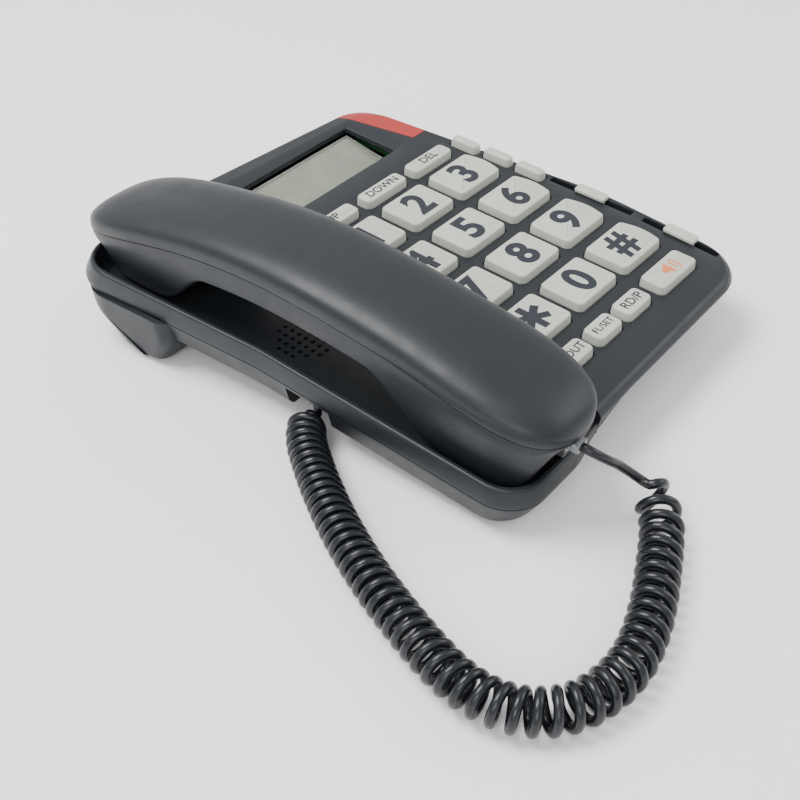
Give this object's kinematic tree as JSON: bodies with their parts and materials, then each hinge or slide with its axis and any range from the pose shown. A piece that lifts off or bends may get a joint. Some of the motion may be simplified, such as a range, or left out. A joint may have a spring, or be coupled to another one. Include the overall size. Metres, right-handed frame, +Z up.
{
  "type": "corded desk telephone",
  "caption": "Corded desk telephone with large number keys, a tilted display, a red lamp strip, side sliders, a lift-off handset in a cradle and a curly cord lying on the table.",
  "frame": {"origin": "middle of the telephone's footprint box at table height, cord left out", "axes": "+X to the user's right, +Y away from the user, +Z up"},
  "size_m": [0.2041, 0.2549, 0.0599],
  "materials": {
    "slate_plastic": "fine matte grain",
    "key_plastic": "smooth matte",
    "dark_rubber": "matte",
    "dark_plastic": "matte",
    "window": "clear, slightly hazed",
    "display": "satin",
    "red_lens": "frosted, see-through",
    "red_lamp": "clear",
    "circuit_board": "satin",
    "keymat_rubber": "matte",
    "switch_blue": "satin",
    "plunger_white": "smooth",
    "sound_metal": "satin",
    "bare_metal": "satin",
    "clear_plug": "clear",
    "cord_sheath": "semi-gloss"
  },
  "bodies": {
    "base": {"base_top_shell": "slate_plastic", "base_bottom_shell": "slate_plastic", "rubber_feet": "dark_rubber", "display_window": "window", "display_panel": "display", "display_holder": "dark_plastic", "lamp_lens": "red_lens", "lamp_leds": "red_lamp", "main_board": "circuit_board", "keymat": "keymat_rubber", "slide_switches": "dark_plastic", "hook_switch": "switch_blue", "loudspeaker": "sound_metal", "speaker_clamp": "slate_plastic", "base_cord_jack": "dark_plastic", "line_jack": "dark_plastic", "battery_contacts": "bare_metal", "base_screws": "bare_metal", "board_screws": "bare_metal", "base_plug": "clear_plug", "base_lead": "cord_sheath", "curly_cord": "cord_sheath"},
    "handset": {"handset_top_shell": "slate_plastic", "handset_bottom_shell": "slate_plastic", "receiver": "sound_metal", "microphone": "bare_metal", "microphone_boot": "dark_rubber", "handset_weight": "bare_metal", "handset_jack": "dark_plastic", "handset_screws": "bare_metal", "handset_plug": "clear_plug", "handset_lead": "cord_sheath"},
    "hook_plunger": {"hook_plunger": "plunger_white"},
    "key_1": {"key_1": "key_plastic"},
    "key_2": {"key_2": "key_plastic"},
    "key_3": {"key_3": "key_plastic"},
    "key_4": {"key_4": "key_plastic"},
    "key_5": {"key_5": "key_plastic"},
    "key_6": {"key_6": "key_plastic"},
    "key_7": {"key_7": "key_plastic"},
    "key_8": {"key_8": "key_plastic"},
    "key_9": {"key_9": "key_plastic"},
    "key_star": {"key_star": "key_plastic"},
    "key_0": {"key_0": "key_plastic"},
    "key_hash": {"key_hash": "key_plastic"},
    "key_up": {"key_up": "key_plastic"},
    "key_down": {"key_down": "key_plastic"},
    "key_delete": {"key_delete": "key_plastic"},
    "key_out": {"key_out": "key_plastic"},
    "key_flash": {"key_flash": "key_plastic"},
    "key_redial": {"key_redial": "key_plastic"},
    "key_speaker": {"key_speaker": "key_plastic"},
    "key_memory_1": {"key_memory_1": "key_plastic"},
    "key_memory_2": {"key_memory_2": "key_plastic"},
    "key_memory_3": {"key_memory_3": "key_plastic"},
    "ringer_slider": {"ringer_slider": "key_plastic"},
    "volume_slider": {"volume_slider": "key_plastic"},
    "battery_door": {"battery_door": "slate_plastic"}
  },
  "joints": [
    {"name": "handset_lift", "type": "slide", "parent": "base", "child": "handset", "axis": [0, -0.0698, 0.9976], "range_m": [0, 0.07]},
    {"name": "hook_travel", "type": "slide", "parent": "base", "child": "hook_plunger", "axis": [0, -0.0698, 0.9976], "range_m": [0, 0.004]},
    {"name": "key_1_press", "type": "slide", "parent": "base", "child": "key_1", "axis": [0, 0.0698, -0.9976], "range_m": [0, 0.0015], "stiffness_N_per_m": 300},
    {"name": "key_2_press", "type": "slide", "parent": "base", "child": "key_2", "axis": [0, 0.0698, -0.9976], "range_m": [0, 0.0015], "stiffness_N_per_m": 300},
    {"name": "key_3_press", "type": "slide", "parent": "base", "child": "key_3", "axis": [0, 0.0698, -0.9976], "range_m": [0, 0.0015], "stiffness_N_per_m": 300},
    {"name": "key_4_press", "type": "slide", "parent": "base", "child": "key_4", "axis": [0, 0.0698, -0.9976], "range_m": [0, 0.0015], "stiffness_N_per_m": 300},
    {"name": "key_5_press", "type": "slide", "parent": "base", "child": "key_5", "axis": [0, 0.0698, -0.9976], "range_m": [0, 0.0015], "stiffness_N_per_m": 300},
    {"name": "key_6_press", "type": "slide", "parent": "base", "child": "key_6", "axis": [0, 0.0698, -0.9976], "range_m": [0, 0.0015], "stiffness_N_per_m": 300},
    {"name": "key_7_press", "type": "slide", "parent": "base", "child": "key_7", "axis": [0, 0.0698, -0.9976], "range_m": [0, 0.0015], "stiffness_N_per_m": 300},
    {"name": "key_8_press", "type": "slide", "parent": "base", "child": "key_8", "axis": [0, 0.0698, -0.9976], "range_m": [0, 0.0015], "stiffness_N_per_m": 300},
    {"name": "key_9_press", "type": "slide", "parent": "base", "child": "key_9", "axis": [0, 0.0698, -0.9976], "range_m": [0, 0.0015], "stiffness_N_per_m": 300},
    {"name": "key_star_press", "type": "slide", "parent": "base", "child": "key_star", "axis": [0, 0.0698, -0.9976], "range_m": [0, 0.0015], "stiffness_N_per_m": 300},
    {"name": "key_0_press", "type": "slide", "parent": "base", "child": "key_0", "axis": [0, 0.0698, -0.9976], "range_m": [0, 0.0015], "stiffness_N_per_m": 300},
    {"name": "key_hash_press", "type": "slide", "parent": "base", "child": "key_hash", "axis": [0, 0.0698, -0.9976], "range_m": [0, 0.0015], "stiffness_N_per_m": 300},
    {"name": "key_up_press", "type": "slide", "parent": "base", "child": "key_up", "axis": [0, 0.0698, -0.9976], "range_m": [0, 0.0015], "stiffness_N_per_m": 300},
    {"name": "key_down_press", "type": "slide", "parent": "base", "child": "key_down", "axis": [0, 0.0698, -0.9976], "range_m": [0, 0.0015], "stiffness_N_per_m": 300},
    {"name": "key_delete_press", "type": "slide", "parent": "base", "child": "key_delete", "axis": [0, 0.0698, -0.9976], "range_m": [0, 0.0015], "stiffness_N_per_m": 300},
    {"name": "key_out_press", "type": "slide", "parent": "base", "child": "key_out", "axis": [0, 0.0698, -0.9976], "range_m": [0, 0.0015], "stiffness_N_per_m": 300},
    {"name": "key_flash_press", "type": "slide", "parent": "base", "child": "key_flash", "axis": [0, 0.0698, -0.9976], "range_m": [0, 0.0015], "stiffness_N_per_m": 300},
    {"name": "key_redial_press", "type": "slide", "parent": "base", "child": "key_redial", "axis": [0, 0.0698, -0.9976], "range_m": [0, 0.0015], "stiffness_N_per_m": 300},
    {"name": "key_speaker_press", "type": "slide", "parent": "base", "child": "key_speaker", "axis": [0, 0.0698, -0.9976], "range_m": [0, 0.0015], "stiffness_N_per_m": 300},
    {"name": "key_memory_1_press", "type": "slide", "parent": "base", "child": "key_memory_1", "axis": [0, 0.0698, -0.9976], "range_m": [0, 0.0015], "stiffness_N_per_m": 300},
    {"name": "key_memory_2_press", "type": "slide", "parent": "base", "child": "key_memory_2", "axis": [0, 0.0698, -0.9976], "range_m": [0, 0.0015], "stiffness_N_per_m": 300},
    {"name": "key_memory_3_press", "type": "slide", "parent": "base", "child": "key_memory_3", "axis": [0, 0.0698, -0.9976], "range_m": [0, 0.0015], "stiffness_N_per_m": 300},
    {"name": "ringer_slide", "type": "slide", "parent": "base", "child": "ringer_slider", "axis": [0, 0.9976, 0.0698], "range_m": [-0.011, 0.011]},
    {"name": "volume_slide", "type": "slide", "parent": "base", "child": "volume_slider", "axis": [0.061, 0.9957, 0.0696], "range_m": [-0.009, 0.009]},
    {"name": "battery_door_release", "type": "slide", "parent": "base", "child": "battery_door", "axis": [0, 0, -1], "range_m": [0, 0.012]}
  ],
  "couplings": [
    {"joint": "hook_travel", "follows": "handset_lift", "ratio": 0.057143}
  ]
}
